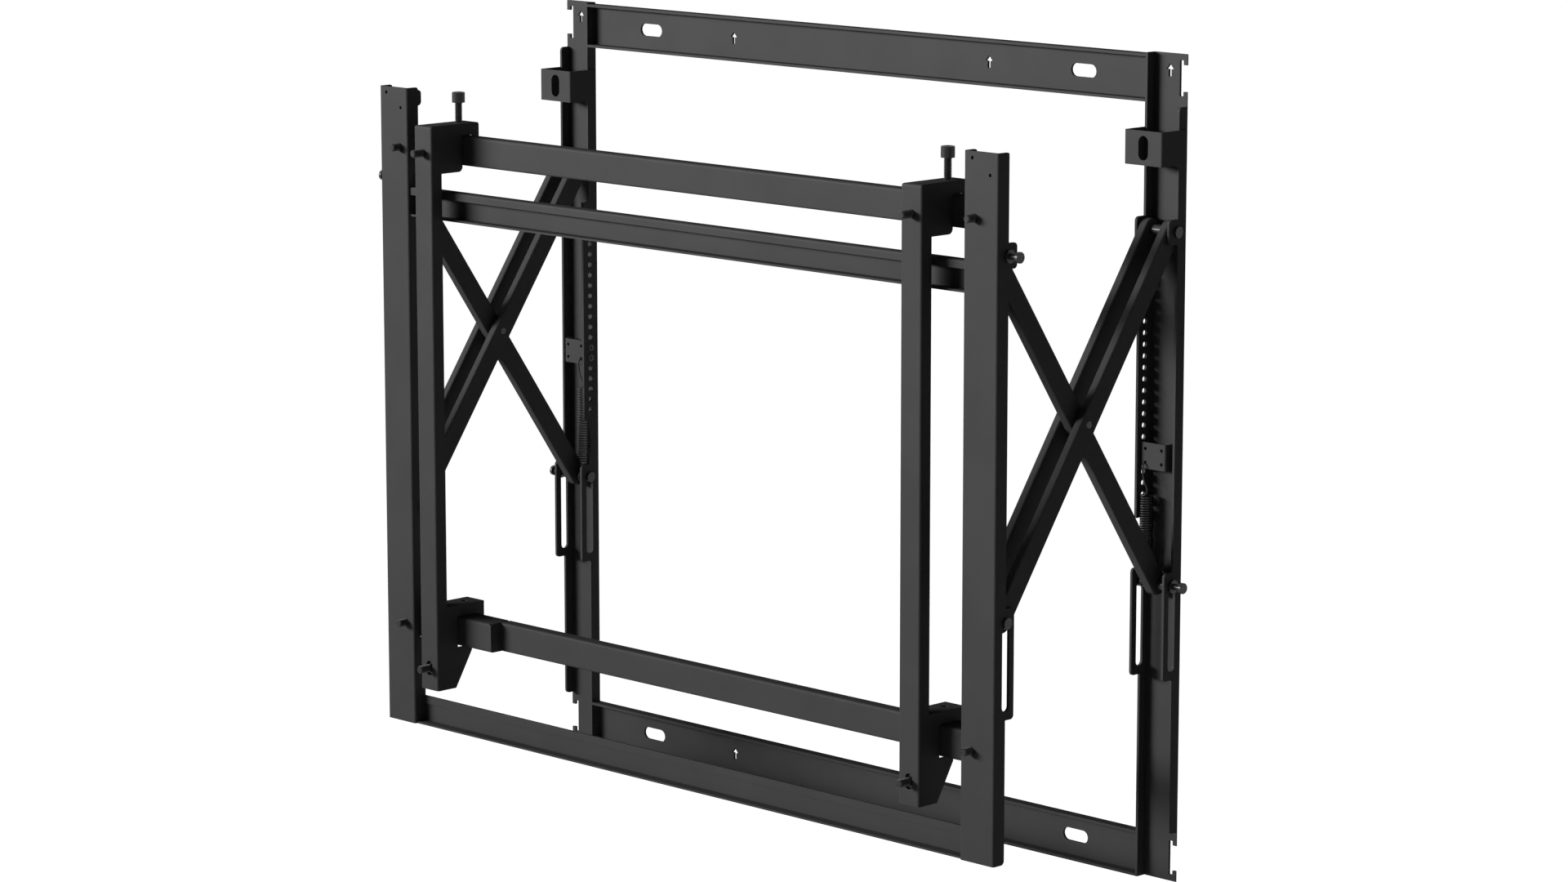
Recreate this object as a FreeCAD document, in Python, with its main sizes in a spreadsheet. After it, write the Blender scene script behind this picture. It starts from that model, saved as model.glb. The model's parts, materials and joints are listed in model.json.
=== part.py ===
"""Pop-out wall mount for one display of a video wall, in millimetres.

Origin: the middle of the four wall slots, in the wall plane. Front is -Y, up is +Z.
Heights in the sheet are counted from the foot of the wall frame, and every piece is
placed so that the origin comes out at the slots' middle. The mount is drawn pulled
out, as it stands when a display is serviced.
"""
import FreeCAD
import Part
import Sketcher
import math
import os

V = FreeCAD.Vector
doc = FreeCAD.newDocument("VideoWallMount")
sheet = doc.addObject("Spreadsheet::Sheet", "Sizes")
ALONG_X = V(1, 0, 0)
ALONG_Y = V(0, 1, 0)
ALONG_Z = V(0, 0, 1)
LEFT = -1
RIGHT = 1
SIDES = (("left", LEFT), ("right", RIGHT))


class Size:
    """A number together with the sheet expression that gives it."""

    def __init__(self, value, text):
        self.value = float(value)
        self.text = text

    def __add__(self, other):
        other = size_of(other)
        return Size(self.value + other.value, f"({self.text} + {other.text})")

    def __sub__(self, other):
        other = size_of(other)
        return Size(self.value - other.value, f"({self.text} - {other.text})")

    def __mul__(self, other):
        other = size_of(other)
        return Size(self.value * other.value, f"({self.text} * {other.text})")

    def __truediv__(self, other):
        other = size_of(other)
        return Size(self.value / other.value, f"({self.text} / {other.text})")

    def __neg__(self):
        return Size(-self.value, f"(-1 * {self.text})")

    def __radd__(self, other):
        return size_of(other) + self

    def __rsub__(self, other):
        return size_of(other) - self

    def __rmul__(self, other):
        return size_of(other) * self


def size_of(number):
    """Any number as a Size."""
    if isinstance(number, Size):
        return number
    return Size(number, f"({number!r})")


def root(area):
    """Square root of a Size."""
    return Size(math.sqrt(area.value), f"sqrt({area.text})")


def sized(name, value, meaning):
    """A driving dimension: one row of the sheet."""
    sized.row += 1
    sheet.set(f"A{sized.row}", name)
    sheet.set(f"B{sized.row}", str(value))
    sheet.set(f"C{sized.row}", meaning)
    sheet.setAlias(f"B{sized.row}", name)
    return Size(value, f"Sizes.{name}")


sized.row = 0

# Frame and sheet metal
half_width = sized("half_width", 322.0, "middle to the outer face of an upright")
channel_w = sized("channel_w", 32.0, "width of every upright channel")
steel_t = sized("steel_t", 2.0, "sheet thickness of uprights, rails and brackets")
bend_r = sized("bend_r", 1.8, "outer radius of the folded edges")
wall_height = sized("wall_height", 600.0, "height of the frame on the wall")
wall_flange = sized("wall_flange", 10.0, "depth of the wall channels")
outer_flange_inset = sized("outer_flange_inset", 37.0, "end of the frame to the outer flange")
fit = sized("fit", 0.05, "radial running fit of a pin in its bore")
loose_fit = sized("loose_fit", 0.15, "radial clearance of the right front pivot")
free_gap = sized("free_gap", 0.3, "gap between pieces that pass each other")

# Hooks that tie neighbouring frames together
hook_depth = sized("hook_depth", 7.0, "depth of the hook notch from the outer edge")
hook_height = sized("hook_height", 25.5, "height of the hook notch")
hook_inset = sized("hook_inset", 4.5, "edge of the frame to the notch")
finger_w = sized("finger_w", 3.5, "width of a hook finger")
finger_l = sized("finger_l", 3.3, "length of a hook finger")

# Wall rails
wall_rail_h = sized("wall_rail_h", 34.0, "height of the wall rails")
wall_rail_inset = sized("wall_rail_inset", 1.0, "top rail below the top of the frame")
wall_slot_x = sized("wall_slot_x", 225.0, "middle to a wall screw slot")
wall_slot_l = sized("wall_slot_l", 24.0, "length of a wall screw slot")
wall_slot_w = sized("wall_slot_w", 9.6, "width of a wall screw slot")
arrow_h = sized("arrow_h", 9.4, "height of an up arrow")
arrow_w = sized("arrow_w", 7.0, "width of an up arrow")
arrow_stem_w = sized("arrow_stem_w", 2.6, "width of the arrow's stem")
arrow_head_h = sized("arrow_head_h", 4.2, "height of the arrow's head")
rail_arrow_x = sized("rail_arrow_x", 133.0, "middle to the arrow of a rail")
upright_arrow_inset = sized("upright_arrow_inset", 16.7, "top of the frame to that arrow's foot")

# Scissor linkage
pivot_z = sized("pivot_z", 475.0, "height of the upper pivots")
pivot_depth = sized("pivot_depth", 11.0, "frame face to the line of its pivots")
arm_length = sized("arm_length", 310.0, "between the end pins of an arm")
arm_w = sized("arm_w", 16.0, "depth of the arm bars")
outer_bar_t = sized("outer_bar_t", 7.0, "thickness of each outer bar")
inner_bar_t = sized("inner_bar_t", 8.4, "thickness of the inner bar")
arm_side_gap = sized("arm_side_gap", 0.7, "flange to outer bar")
bar_round = sized("bar_round", 1.4, "rounding of the bars' long edges")
open_depth = sized("open_depth", 198.0, "wall to the front frame's face, pulled out")
pin_d = sized("pin_d", 6.0, "diameter of the pins")
pin_neck_d = sized("pin_neck_d", 4.6, "diameter of the necks of the long pins")
pin_head_d = sized("pin_head_d", 8.0, "diameter of the heads of the pins")
pin_head_t = sized("pin_head_t", 2.6, "thickness of the heads")
pin_collar_d = sized("pin_collar_d", 9.6, "diameter of the collars")
pin_collar_t = sized("pin_collar_t", 2.0, "thickness of the collars")
pin_neck_l = sized("pin_neck_l", 6.6, "length of the necks")
turned_edge = sized("turned_edge", 0.4, "bevel on the ends of turned pieces")
spacer_d = sized("spacer_d", 8.0, "diameter of the spacer tubes")
washer_d = sized("washer_d", 12.0, "diameter of the centre washers")
play = sized("play", 0.1, "side play of spacers and washers")

# Ears and slotted guide plates
ear_reach = sized("ear_reach", 8.5, "pivot line to the edge of an ear or guide plate")
ear_half_h = sized("ear_half_h", 9.0, "half height of an ear")
plate_corner_r = sized("plate_corner_r", 3.0, "corner radius of ears and guide plates")
plate_foot_z = sized("plate_foot_z", 151.0, "foot of a guide plate")
plate_over_pin = sized("plate_over_pin", 10.0, "pin to the top of a guide plate, pulled out")
slot_w = sized("slot_w", 7.0, "width of the guide slots")
slot_foot_z = sized("slot_foot_z", 157.2, "lowest edge of the guide slots")

# Perforated stretch and spring anchors
perf_pitch = sized("perf_pitch", 8.35, "pitch of the perforation")
perf_count = sized("perf_count", 20, "number of perforations")
perf_first_z = sized("perf_first_z", 274.5, "lowest perforation")
perf_d = sized("perf_d", 4.2, "diameter of the perforations")
perf_depth = sized("perf_depth", 9.0, "wall plane to the perforations")
perf_reach = sized("perf_reach", 7.0, "perforation line to the flange edge")
perf_margin = sized("perf_margin", 8.4, "end perforation to the end of the deep flange")
anchor_w = sized("anchor_w", 24.0, "width of a spring anchor")
anchor_h = sized("anchor_h", 19.0, "height of a spring anchor")
anchor_t = sized("anchor_t", 1.5, "sheet thickness of a spring anchor")
anchor_face = sized("anchor_face", 12.8, "wall plane to the anchor's face")
anchor_leg = sized("anchor_leg", 7.4, "depth of the anchor's legs")
anchor_hole_d = sized("anchor_hole_d", 2.6, "diameter of the anchor's holes")
anchor_hole_z = sized("anchor_hole_z", 5.0, "anchor middle to a hole, up or down")
anchor_hole_x = sized("anchor_hole_x", 4.9, "inside of the flange to the first hole")
anchor_screw_d = sized("anchor_screw_d", 3.5, "diameter of the anchor screws")
anchor_head_d = sized("anchor_head_d", 6.0, "diameter of their heads")
anchor_head_t = sized("anchor_head_t", 1.8, "thickness of their heads")

# Springs
wire_d = sized("wire_d", 1.2, "diameter of the spring wire")
coil_d = sized("coil_d", 9.2, "outer diameter of the springs")
coil_count = sized("coil_count", 30, "turns of each spring")
hook_wire_gap = sized("hook_wire_gap", 0.3, "spring hook to the spacer it goes round")
coil_lead = sized("coil_lead", 5.0, "lower hook to the first coil")
spring_stem = sized("spring_stem", 24.0, "last coil to the centre of the upper hook")
anchor_loop_r = sized("anchor_loop_r", 3.6, "centre line radius of the upper hook")

# Stop brackets
stop_t = sized("stop_t", 1.6, "sheet thickness of a stop bracket")
stop_face = sized("stop_face", 30.0, "wall plane to the stop's face")
stop_back = sized("stop_back", 3.0, "wall plane to the back edges of its cheeks")
stop_h = sized("stop_h", 24.5, "height of a stop bracket")
stop_mid_z = sized("stop_mid_z", 534.8, "middle of a stop bracket")
stop_slot_w = sized("stop_slot_w", 9.0, "width of its slot")
stop_slot_l = sized("stop_slot_l", 17.4, "length of its slot")

# Front frame
front_height = sized("front_height", 498.0, "height of the front frame")
front_foot_z = sized("front_foot_z", 48.0, "foot of the front frame")
front_ear_h = sized("front_ear_h", 14.0, "height of the top ear of an inner flange")
front_ear_out = sized("front_ear_out", 3.2, "top ear beyond its flange")
tool_hole_d = sized("tool_hole_d", 2.6, "small blind tooling holes")
tool_hole_depth = sized("tool_hole_depth", 1.4, "their depth")
tool_hole_x = sized("tool_hole_x", 8.3, "middle of an upright to a tooling hole")
tool_hole_up = sized("tool_hole_up", 4.6, "upper tooling hole below the top")
tool_hole_low = sized("tool_hole_low", 15.4, "lower tooling hole below the top")
flange_corner_r = sized("flange_corner_r", 1.6, "rounded ends of the front flanges")
middle_rail_h = sized("middle_rail_h", 22.4, "height of the middle rail")
bottom_rail_h = sized("bottom_rail_h", 21.4, "height of the bottom rail")
lip_rail_d = sized("lip_rail_d", 10.0, "depth of both rails")
lip_h = sized("lip_h", 6.0, "height of the lip or hem at their top")
lip_t = sized("lip_t", 1.5, "sheet thickness of both rails")
middle_rail_foot = sized("middle_rail_foot", 447.5, "foot of the middle rail")

# Carriers
carrier_h = sized("carrier_h", 22.5, "height of the carriers")
carrier_d = sized("carrier_d", 10.0, "depth of the carriers")
carrier_inset = sized("carrier_inset", 16.5, "front frame's face to the carriers' face")
top_carrier_z = sized("top_carrier_z", 500.3, "middle of the top carrier")
low_carrier_z = sized("low_carrier_z", 127.6, "middle of the low carrier")
left_jog_inset = sized("left_jog_inset", 114.5, "frame side to the left step of the low carrier")
right_jog_inset = sized("right_jog_inset", 85.0, "frame side to its right step")
jog_out = sized("jog_out", 10.0, "low carrier's ends in front of its middle")
end_step_gap = sized("end_step_gap", 0.4, "upright's flange to the step of a carrier end")
relief_d = sized("relief_d", 1.8, "relief hole where a step is folded")
bolt_inset = sized("bolt_inset", 22.2, "frame side to the middle of a carrier bolt")
bolt_out = sized("bolt_out", 8.0, "carrier bolt in front of the upright")
bolt_d = sized("bolt_d", 6.0, "diameter of carrier bolts and display studs")
bolt_neck_d = sized("bolt_neck_d", 6.4, "diameter of their necks, inside the sheets")
bolt_neck_out = sized("bolt_neck_out", 0.3, "length of a neck in front of the sheet")
bolt_head_d = sized("bolt_head_d", 10.0, "diameter of the carrier bolt heads")
bolt_head_t = sized("bolt_head_t", 4.0, "thickness of the carrier bolt heads")

# Display brackets
bracket_inset = sized("bracket_inset", 67.0, "frame side to the middle of a display bracket")
bracket_w = sized("bracket_w", 20.0, "width of a display bracket")
bracket_out = sized("bracket_out", 15.0, "front frame's face to a bracket's face")
bracket_top_z = sized("bracket_top_z", 521.0, "top of a display bracket")
bracket_foot_z = sized("bracket_foot_z", 83.4, "foot of a display bracket")
bracket_flange = sized("bracket_flange", 10.0, "depth of the bracket's flanges")
hook_box_d = sized("hook_box_d", 48.0, "depth of the bracket's two boxes")
hook_box_foot = sized("hook_box_foot", 484.5, "foot of the upper box")
roof_gap = sized("roof_gap", 0.45, "carrier to the notch roof of a lowered bracket")
lift = sized("lift", 1.0, "travel of the height screws")
hook_leg_w = sized("hook_leg_w", 6.0, "width of the leg behind a carrier")
hook_leg_l = sized("hook_leg_l", 20.0, "length of that leg below the notch roof")
low_box_top = sized("low_box_top", 148.3, "top of the lower box")
foot_gap = sized("foot_gap", 0.3, "low carrier to the notch foot of a raised bracket")
slant_rise = sized("slant_rise", 4.0, "notch foot to the start of the slanted edge")
foot_slant_d = sized("foot_slant_d", 35.0, "depth of the side plate under the low carrier")
foot_d = sized("foot_d", 18.5, "depth of the side plate at its foot")
low_notch_gap = sized("low_notch_gap", 0.8, "low carrier to the front of its notch")
hook_corner_r = sized("hook_corner_r", 4.0, "rounded corner of the upper box")
display_pitch_z = sized("display_pitch_z", 400.0, "between the display studs, up")
low_stud_z = sized("low_stud_z", 100.5, "lower display stud")
stud_out = sized("stud_out", 10.5, "display stud in front of the bracket")
stud_head_d = sized("stud_head_d", 10.0, "diameter of the heads of the display studs")
stud_head_t = sized("stud_head_t", 3.0, "thickness of those heads")
stud_slot_l = sized("stud_slot_l", 11.0, "length of the slot of the lower stud")
lock_hole_d = sized("lock_hole_d", 5.0, "hole in the top of the lower box")

# Height screws and their glide pads
pad_w = sized("pad_w", 15.0, "width of a glide pad")
pad_t = sized("pad_t", 2.4, "thickness of a glide pad")
pad_seat = sized("pad_seat", 0.1, "glide pad above the carrier")
screw_d = sized("screw_d", 6.0, "diameter of the height screw")
screw_head_d = sized("screw_head_d", 10.0, "diameter of its head")
screw_head_h = sized("screw_head_h", 8.0, "height of its head")
screw_l = sized("screw_l", 23.4, "tip to the underside of the head")
screw_seat = sized("screw_seat", 1.2, "depth of the screw's tip in the pad")
socket_r = sized("socket_r", 2.9, "corner radius of the hexagon socket")
socket_depth = sized("socket_depth", 4.0, "depth of the hexagon socket")
doc.recompute()

# What follows from the sizes above
datum_z = (wall_height - wall_rail_inset) / 2
channel_in = half_width - channel_w
channel_mid = half_width - channel_w / 2
inside_near = channel_in + steel_t
inside_far = half_width - steel_t
near_bar = inside_near + arm_side_gap
far_bar = inside_far - arm_side_gap - outer_bar_t
mid_bar = channel_mid - inner_bar_t / 2
rear_line = -pivot_depth
front_line = pivot_depth - open_depth
swing = open_depth - 2 * pivot_depth
drop = root(arm_length * arm_length - swing * swing)
pin_z = pivot_z - drop
centre_y = (rear_line + front_line) / 2
centre_z = pivot_z - drop / 2
guide_top = pin_z + plate_over_pin
slot_low = slot_foot_z + slot_w / 2
web_inner = steel_t - open_depth
carrier_face = open_depth - carrier_inset
bracket_face = open_depth + bracket_out
carrier_back = carrier_d - carrier_face
tab_back = web_inner + steel_t
top_carrier_top = top_carrier_z + carrier_h / 2
screw_y = carrier_d / 2 - carrier_face
screw_tip_z = top_carrier_top + pad_seat + pad_t - screw_seat
top_roof = top_carrier_top + roof_gap
low_roof = low_carrier_z + carrier_h / 2 + roof_gap
low_notch_foot = low_carrier_z - carrier_h / 2 - lift - foot_gap
low_end_face = carrier_face + jog_out
end_step = inside_near + end_step_gap + steel_t
box_back = hook_box_d - bracket_face
bracket_x = half_width - bracket_inset
bolt_x = half_width - bolt_inset
outer_flange_top = wall_height - outer_flange_inset


def bind(thing, path, size):
    """Ties a property to the sheet."""
    thing.setExpression(path, size_of(size).text)


def new_body(label):
    """An empty body, whose label names its file."""
    body = doc.addObject("PartDesign::Body", label)
    body.Label = label
    bind(body, ".Placement.Base.z", -datum_z)
    return body


def new_sketch(body, role, offset):
    """A sketch parallel to one of the body's own planes."""
    planes = [f for f in body.Origin.OriginFeatures if f.Role == role]
    sketch = body.newObject("Sketcher::SketchObject", "sketch")
    sketch.AttachmentSupport = [(planes[0], "")]
    sketch.MapMode = "FlatFace"
    bind(sketch, "AttachmentOffset.Base.z", offset)
    return sketch


def pin_point(sketch, curve, end, place):
    """Holds one point of a curve at a place given by two sizes."""
    for kind, coordinate in zip(("DistanceX", "DistanceY"), place):
        number = size_of(coordinate)
        rule = Sketcher.Constraint(kind, -1, 1, curve, end, number.value)
        index = sketch.addConstraint(rule)
        sketch.setExpression(f"Constraints[{index}]", number.text)


def polygon(sketch, corners):
    """A closed outline of straight edges."""
    flat = [V(size_of(a).value, size_of(b).value, 0) for a, b in corners]
    first = sketch.GeometryCount
    for here, there in zip(flat, flat[1:] + flat[:1]):
        sketch.addGeometry(Part.LineSegment(here, there), False)
    count = len(flat)
    for i in range(count):
        rule = Sketcher.Constraint("Coincident", first + i, 2, first + (i + 1) % count, 1)
        sketch.addConstraint(rule)
        pin_point(sketch, first + i, 1, corners[i])


def circle(sketch, centre, diameter):
    """A full circle."""
    middle = V(size_of(centre[0]).value, size_of(centre[1]).value, 0)
    radius = size_of(diameter) / 2
    curve = sketch.addGeometry(Part.Circle(middle, V(0, 0, 1), radius.value), False)
    pin_point(sketch, curve, 3, centre)
    index = sketch.addConstraint(Sketcher.Constraint("Radius", curve, radius.value))
    sketch.setExpression(f"Constraints[{index}]", radius.text)


def stadium(sketch, start, end, width):
    """A long hole or a bar with round ends, centred on two points."""
    a = V(size_of(start[0]).value, size_of(start[1]).value, 0)
    b = V(size_of(end[0]).value, size_of(end[1]).value, 0)
    radius = size_of(width) / 2
    heading = (b - a).normalize()
    side = V(-heading.y, heading.x, 0) * radius.value
    corners = (a + side, a - side, b - side, b + side)
    cap_a = Part.Arc(corners[0], a - heading * radius.value, corners[1])
    cap_b = Part.Arc(corners[2], b + heading * radius.value, corners[3])
    first = sketch.addGeometry(cap_a, False)
    sketch.addGeometry(Part.LineSegment(corners[1], corners[2]), False)
    sketch.addGeometry(cap_b, False)
    sketch.addGeometry(Part.LineSegment(corners[3], corners[0]), False)
    for step, (arc, arc_end, line_end) in enumerate(((0, 2, 1), (2, 1, 2), (2, 2, 1), (0, 1, 2))):
        line = 1 if step < 2 else 3
        rule = Sketcher.Constraint("Tangent", first + arc, arc_end, first + line, line_end)
        sketch.addConstraint(rule)
    pin_point(sketch, first, 3, start)
    pin_point(sketch, first + 2, 3, end)
    index = sketch.addConstraint(Sketcher.Constraint("Radius", first, radius.value))
    sketch.setExpression(f"Constraints[{index}]", radius.text)


def pad(body, sketch, thickness, backwards=False):
    """Adds material from a sketch."""
    feature = body.newObject("PartDesign::Pad", "pad")
    feature.Profile = sketch
    bind(feature, "Length", thickness)
    feature.Reversed = backwards
    doc.recompute()
    return feature


def pocket(body, sketch, depth, backwards=False):
    """Cuts a sketch through the body and makes sure that something was cut."""
    before = body.Shape.Volume
    feature = body.newObject("PartDesign::Pocket", "pocket")
    feature.Profile = sketch
    bind(feature, "Length", depth)
    feature.Reversed = backwards
    doc.recompute()
    if body.Shape.Volume >= before - 0.01:
        raise ValueError(f"{body.Label}: a pocket cut nothing")
    return feature


def round_edges(body, radius, direction, places):
    """Rounds the straight edges that run along a direction through the given places."""
    names = []
    for number, edge in enumerate(body.Tip.Shape.Edges, start=1):
        if len(edge.Vertexes) != 2 or edge.Curve.TypeId != "Part::GeomLine":
            continue
        middle = edge.CenterOfMass
        if abs(edge.Curve.Direction.dot(direction)) < 0.999:
            continue
        for place in places:
            offset = middle - V(*[size_of(c).value for c in place])
            across = offset - direction * offset.dot(direction)
            if across.Length < 0.01:
                names.append(f"Edge{number}")
    base = body.Tip
    feature = body.newObject("PartDesign::Fillet", "fillet")
    feature.Base = (base, names)
    bind(feature, "Radius", radius)
    doc.recompute()
    return feature


def cut_across(body, shape, sizes, from_x, to_x):
    """Cuts a shape drawn in the YZ plane, between two values of x."""
    sketch = new_sketch(body, "YZ_Plane", from_x)
    shape(sketch, *sizes)
    backwards = size_of(to_x).value > size_of(from_x).value
    width = to_x - from_x if backwards else from_x - to_x
    return pocket(body, sketch, width, backwards)


def cut_forward(body, shape, sizes, front):
    """Cuts a shape drawn in the XZ plane through sheet whose front is at this depth."""
    sketch = new_sketch(body, "XZ_Plane", front + free_gap)
    shape(sketch, *sizes)
    return pocket(body, sketch, steel_t + 2 * free_gap)


def add_across(body, corners, from_x, to_x):
    """Adds a plate drawn in the YZ plane, between two values of x."""
    sketch = new_sketch(body, "YZ_Plane", from_x)
    polygon(sketch, corners)
    backwards = size_of(to_x).value < size_of(from_x).value
    width = from_x - to_x if backwards else to_x - from_x
    return pad(body, sketch, width, backwards)


def add_forward(body, corners, back, thickness):
    """Adds a plate drawn in the XZ plane, from this depth forward."""
    sketch = new_sketch(body, "XZ_Plane", back)
    polygon(sketch, corners)
    return pad(body, sketch, thickness)


def box_corners(low_a, low_b, high_a, high_b):
    """The corners of a rectangle."""
    return [(low_a, low_b), (high_a, low_b), (high_a, high_b), (low_a, high_b)]


def arrow_corners(x, foot):
    """A plain up arrow with its stem's foot at this height."""
    neck = foot + arrow_h - arrow_head_h
    return [
        (x - arrow_stem_w / 2, foot),
        (x + arrow_stem_w / 2, foot),
        (x + arrow_stem_w / 2, neck),
        (x + arrow_w / 2, neck),
        (x, foot + arrow_h),
        (x - arrow_w / 2, neck),
        (x - arrow_stem_w / 2, neck),
    ]


def turned(label, steps, y, z):
    """A turned piece along X, from steps of (x from, x to, diameter)."""
    body = new_body(label)
    sketch = new_sketch(body, "XY_Plane", 0)
    first, last = steps[0], steps[-1]
    outline = [(first[0], 0), (first[0], size_of(first[2]) / 2 - turned_edge)]
    for start, end, diameter in steps:
        outline.append((start + turned_edge if start is first[0] else start, size_of(diameter) / 2))
        outline.append((end - turned_edge if end is last[1] else end, size_of(diameter) / 2))
    outline += [(last[1], size_of(last[2]) / 2 - turned_edge), (last[1], 0)]
    polygon(sketch, outline)
    feature = body.newObject("PartDesign::Revolution", "turned")
    feature.Profile = sketch
    feature.ReferenceAxis = (sketch, ["H_Axis"])
    feature.Angle = 360
    bind(body, ".Placement.Base.y", y)
    bind(body, ".Placement.Base.z", z - datum_z)
    doc.recompute()
    return body


def tube_solid(label, from_x, to_x, outer_d, bore_d, y, z):
    """A spacer or washer along X, ready for its group."""
    pieces = []
    for part, diameter, extra in (("outside", outer_d, 0), ("bore", bore_d, 1)):
        drum = doc.addObject("Part::Cylinder", f"{label}_{part}")
        bind(drum, "Radius", size_of(diameter) / 2)
        bind(drum, "Height", to_x - from_x + 2 * extra)
        drum.Placement = FreeCAD.Placement(V(0, 0, 0), FreeCAD.Rotation(ALONG_Y, 90))
        bind(drum, ".Placement.Base.x", from_x - extra)
        bind(drum, ".Placement.Base.y", y)
        bind(drum, ".Placement.Base.z", z - datum_z)
        pieces.append(drum)
    ring = doc.addObject("Part::Cut", label)
    ring.Base, ring.Tool = pieces
    return ring


def group(label, members):
    """Separate equal pieces under one name."""
    bundle = doc.addObject("Part::Compound", label)
    bundle.Label = label
    bundle.Links = members
    return bundle


def mirrored(low, high, side):
    """A stretch of x on the right, or its mirror image on the left."""
    if side == RIGHT:
        return low, high
    return -high, -low


def wall_web(body, side):
    """The web on the wall, with a hook notch at each end of its outer edge."""
    outer = half_width - finger_w
    pocket_x = half_width - hook_depth
    low = hook_inset
    low_top = hook_inset + hook_height
    high = wall_height - hook_inset - hook_height
    high_top = wall_height - hook_inset
    edge = [
        (channel_in, 0),
        (half_width, 0),
        (half_width, low + finger_l),
        (outer, low + finger_l),
        (outer, low),
        (pocket_x, low),
        (pocket_x, low_top),
        (outer, low_top),
        (outer, low_top - finger_l),
        (half_width, low_top - finger_l),
        (half_width, high + finger_l),
        (outer, high + finger_l),
        (outer, high),
        (pocket_x, high),
        (pocket_x, high_top),
        (outer, high_top),
        (outer, high_top - finger_l),
        (half_width, high_top - finger_l),
        (half_width, wall_height),
        (channel_in, wall_height),
    ]
    add_forward(body, [(side * x, z) for x, z in edge], 0, steel_t)


def flange_edge(foot, top, depth, sense, face, deep_zones):
    """A flange seen from the side: a straight edge with deeper stretches."""
    back = face
    edge = [(back, foot)]
    front = back + sense * depth
    edge.append((front, foot))
    for zone_foot, zone_top, reach in deep_zones:
        far = back + sense * reach
        edge += [(front, zone_foot), (far, zone_foot), (far, zone_top), (front, zone_top)]
    edge += [(front, top), (back, top)]
    return edge


def guide_zones():
    """The guide plate and the ear, which both reach the same depth."""
    reach = pivot_depth + ear_reach
    plate = (plate_foot_z, guide_top, reach)
    ear = (pivot_z - ear_half_h, pivot_z + ear_half_h, reach)
    return plate, ear


def cut_guides(body, line, from_x, to_x):
    """The guide slot, and the bore of the ear above it."""
    slot = ((line, slot_low), (line, pin_z), slot_w)
    cut_across(body, stadium, slot, from_x, to_x)
    bore = ((line, pivot_z), pin_d + 2 * fit)
    cut_across(body, circle, bore, from_x, to_x)


def plate_corners(line, sense):
    """Where the corners of ears and guide plates are rounded."""
    far = line - sense * ear_reach
    heights = [plate_foot_z, guide_top, pivot_z - ear_half_h, pivot_z + ear_half_h]
    return [(0, far, z) for z in heights]


def wall_upright(name, side):
    """Channel on the wall: ears, guide plates and a perforated inner flange."""
    body = new_body(f"wall_upright_{name}")
    wall_web(body, side)
    plate, ear = guide_zones()
    perf_top = perf_first_z + (perf_count - 1) * perf_pitch
    deep = (perf_first_z - perf_margin, perf_top + perf_margin, perf_depth + perf_reach)
    inner = flange_edge(0, wall_height, wall_flange, -1, 0, [plate, deep, ear])
    outer = flange_edge(outer_flange_inset, outer_flange_top, wall_flange, -1, 0, [plate, ear])
    add_across(body, inner, side * channel_in, side * inside_near)
    add_across(body, outer, side * half_width, side * inside_far)
    start = side * (channel_in - free_gap)
    cut_guides(body, rear_line, start, side * (half_width + free_gap))
    hole = ((-perf_depth, perf_first_z), perf_d)
    first = cut_across(body, circle, hole, start, side * (inside_near + free_gap))
    row = body.newObject("PartDesign::LinearPattern", "perforation")
    row.Originals = [first]
    row.Direction = (first.Profile[0], ["V_Axis"])
    bind(row, "Length", (perf_count - 1) * perf_pitch)
    bind(row, "Occurrences", perf_count)
    body.Tip = row
    doc.recompute()
    arrow = arrow_corners(side * channel_mid, wall_height - upright_arrow_inset)
    cut_forward(body, polygon, (arrow,), steel_t)
    corners = plate_corners(rear_line, 1)
    corners += [(0, -wall_flange, z) for z in (outer_flange_inset, outer_flange_top)]
    round_edges(body, plate_corner_r, ALONG_X, corners)
    folds = [(side * channel_in, 0, 0), (side * half_width, 0, 0)]
    round_edges(body, bend_r, ALONG_Z, folds)
    return body


def wall_rail(name, foot):
    """Channel across the wall frame, with two wall slots and two arrows."""
    body = new_body(f"wall_rail_{name}")
    top = foot + wall_rail_h
    section = [
        (0, foot),
        (-wall_flange, foot),
        (-wall_flange, foot + steel_t),
        (-steel_t, foot + steel_t),
        (-steel_t, top - steel_t),
        (-wall_flange, top - steel_t),
        (-wall_flange, top),
        (0, top),
    ]
    add_across(body, section, -channel_in, channel_in)
    middle = foot + wall_rail_h / 2
    reach = (wall_slot_l - wall_slot_w) / 2
    for side in (LEFT, RIGHT):
        x = side * wall_slot_x
        slot = ((x - reach, middle), (x + reach, middle), wall_slot_w)
        cut_forward(body, stadium, slot, steel_t)
        arrow = arrow_corners(side * rail_arrow_x, middle - arrow_h / 2)
        cut_forward(body, polygon, (arrow,), steel_t)
    round_edges(body, bend_r, ALONG_X, [(0, 0, foot), (0, 0, top)])
    return body


def stop_bracket(name, side):
    """Bent stop in front of an upright, with a latch slot."""
    body = new_body(f"stop_bracket_{name}")
    foot = stop_mid_z - stop_h / 2
    top = stop_mid_z + stop_h / 2
    near = channel_in - stop_t
    far = half_width + stop_t
    low, high = mirrored(near, far, side)
    add_forward(body, box_corners(low, foot, high, top), stop_face - stop_t, stop_t)
    cheek = box_corners(-stop_face, foot, -stop_back, top)
    add_across(body, cheek, side * near, side * channel_in)
    add_across(body, cheek, side * far, side * half_width)
    reach = (stop_slot_l - stop_slot_w) / 2
    x = side * channel_mid
    slot = ((x, stop_mid_z - reach), (x, stop_mid_z + reach), stop_slot_w)
    cut_forward(body, stadium, slot, stop_face)
    folds = [(side * near, -stop_face, 0), (side * far, -stop_face, 0)]
    round_edges(body, stop_t, ALONG_Z, folds)
    return body


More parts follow.
